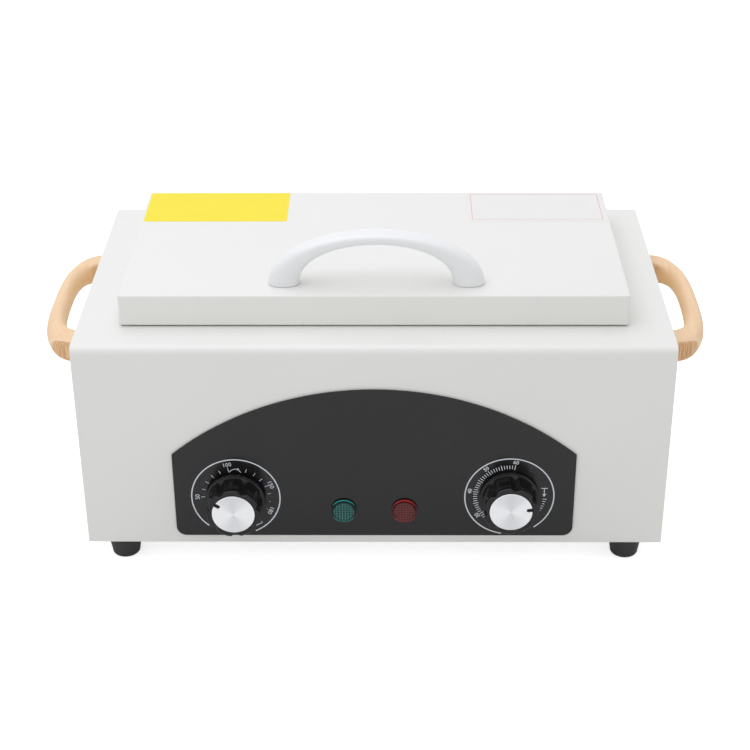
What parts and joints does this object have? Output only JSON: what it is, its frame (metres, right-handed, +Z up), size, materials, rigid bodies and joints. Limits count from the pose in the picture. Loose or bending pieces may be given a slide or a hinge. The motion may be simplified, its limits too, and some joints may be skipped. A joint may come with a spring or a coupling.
{
  "type": "dry heat sterilizer",
  "caption": "Bench-top dry heat sterilizer: white steel housing with a hinged lid, heated chamber with a lift-out tray, two dials, two lamps and wooden end handles.",
  "frame": {"origin": "centre of the footprint, on the surface that the four feet stand on", "axes": "+X to the right seen from the front, along the longest side; -Y to the front with the dials; +Z up"},
  "size_m": [0.4084, 0.223, 0.2041],
  "materials": {
    "white_paint": "satin powder coat",
    "zinc": "galvanised",
    "stainless": "brushed",
    "plated_steel": "bright zinc plate",
    "mineral_wool": "matte fibre",
    "heater_sheath": "oxidised",
    "ceramic": "unglazed",
    "grey_plastic": "moulded",
    "copper": "drawn",
    "panel_black": "fine matte",
    "gloss_black": "glossy",
    "green_lens": "glossy translucent",
    "red_lens": "glossy translucent",
    "spun_aluminium": "spun",
    "brass": "plain",
    "beech": "clear satin lacquer",
    "white_plastic": "satin gloss",
    "black_rubber": "matte"
  },
  "bodies": {
    "housing": {"base_plate": "zinc", "chamber_insulation": "mineral_wool", "control_panel": "panel_black", "foot_front_left": "black_rubber", "foot_front_right": "black_rubber", "foot_rear_left": "black_rubber", "foot_rear_right": "black_rubber", "green_lamp_holder": "gloss_black", "green_lamp_lens": "green_lens", "handle_screw_left_front": "plated_steel", "handle_screw_left_rear": "plated_steel", "handle_screw_right_front": "plated_steel", "handle_screw_right_rear": "plated_steel", "heater_bracket_left": "zinc", "heater_bracket_right": "zinc", "heater_terminal_front": "ceramic", "heater_terminal_rear": "ceramic", "heating_element": "heater_sheath", "hinge_cover_leaf_left": "plated_steel", "hinge_cover_leaf_right": "plated_steel", "hinge_pin_left": "plated_steel", "hinge_pin_right": "plated_steel", "inlet_pin_earth": "brass", "inlet_pin_line": "brass", "inlet_pin_neutral": "brass", "inner_chamber": "stainless", "mains_inlet": "gloss_black", "outer_cover": "white_paint", "red_lamp_holder": "gloss_black", "red_lamp_lens": "red_lens", "side_panel_left": "white_paint", "side_panel_right": "white_paint", "thermostat_body": "grey_plastic", "thermostat_bulb": "copper", "thermostat_capillary": "copper", "thermostat_nut": "plated_steel", "timer_bell": "stainless", "timer_body": "plated_steel", "timer_nut": "plated_steel", "wooden_handle_left": "beech", "wooden_handle_right": "beech"},
    "lid": {"lid_shell": "white_paint", "lid_liner": "stainless", "lid_insulation": "mineral_wool", "lid_handle": "white_plastic", "lid_handle_screw_left": "plated_steel", "lid_handle_screw_right": "plated_steel", "hinge_lid_leaf_left": "plated_steel", "hinge_lid_leaf_right": "plated_steel"},
    "temperature_knob": {"temperature_knob": "gloss_black", "temperature_knob_cap": "spun_aluminium", "thermostat_shaft": "plated_steel"},
    "timer_knob": {"timer_knob": "gloss_black", "timer_knob_cap": "spun_aluminium", "timer_shaft": "plated_steel"},
    "tray": {"instrument_tray": "stainless"}
  },
  "joints": [
    {"name": "lid_hinge", "type": "hinge", "parent": "housing", "child": "lid", "pos_m": [0, 0.0938, 0.1543], "axis": [-1, 0, 0], "range_deg": [0, 110]},
    {"name": "temperature_turn", "type": "hinge", "parent": "housing", "child": "temperature_knob", "pos_m": [-0.0833, -0.0921, 0.0501], "axis": [0, 1, 0], "range_deg": [-62, 178]},
    {"name": "timer_turn", "type": "hinge", "parent": "housing", "child": "timer_knob", "pos_m": [0.0813, -0.0921, 0.0507], "axis": [0, 1, 0], "range_deg": [0, 285]},
    {"name": "tray_lift", "type": "slide", "parent": "housing", "child": "tray", "axis": [0, 0, 1], "range_m": [0, 0.03]}
  ]
}
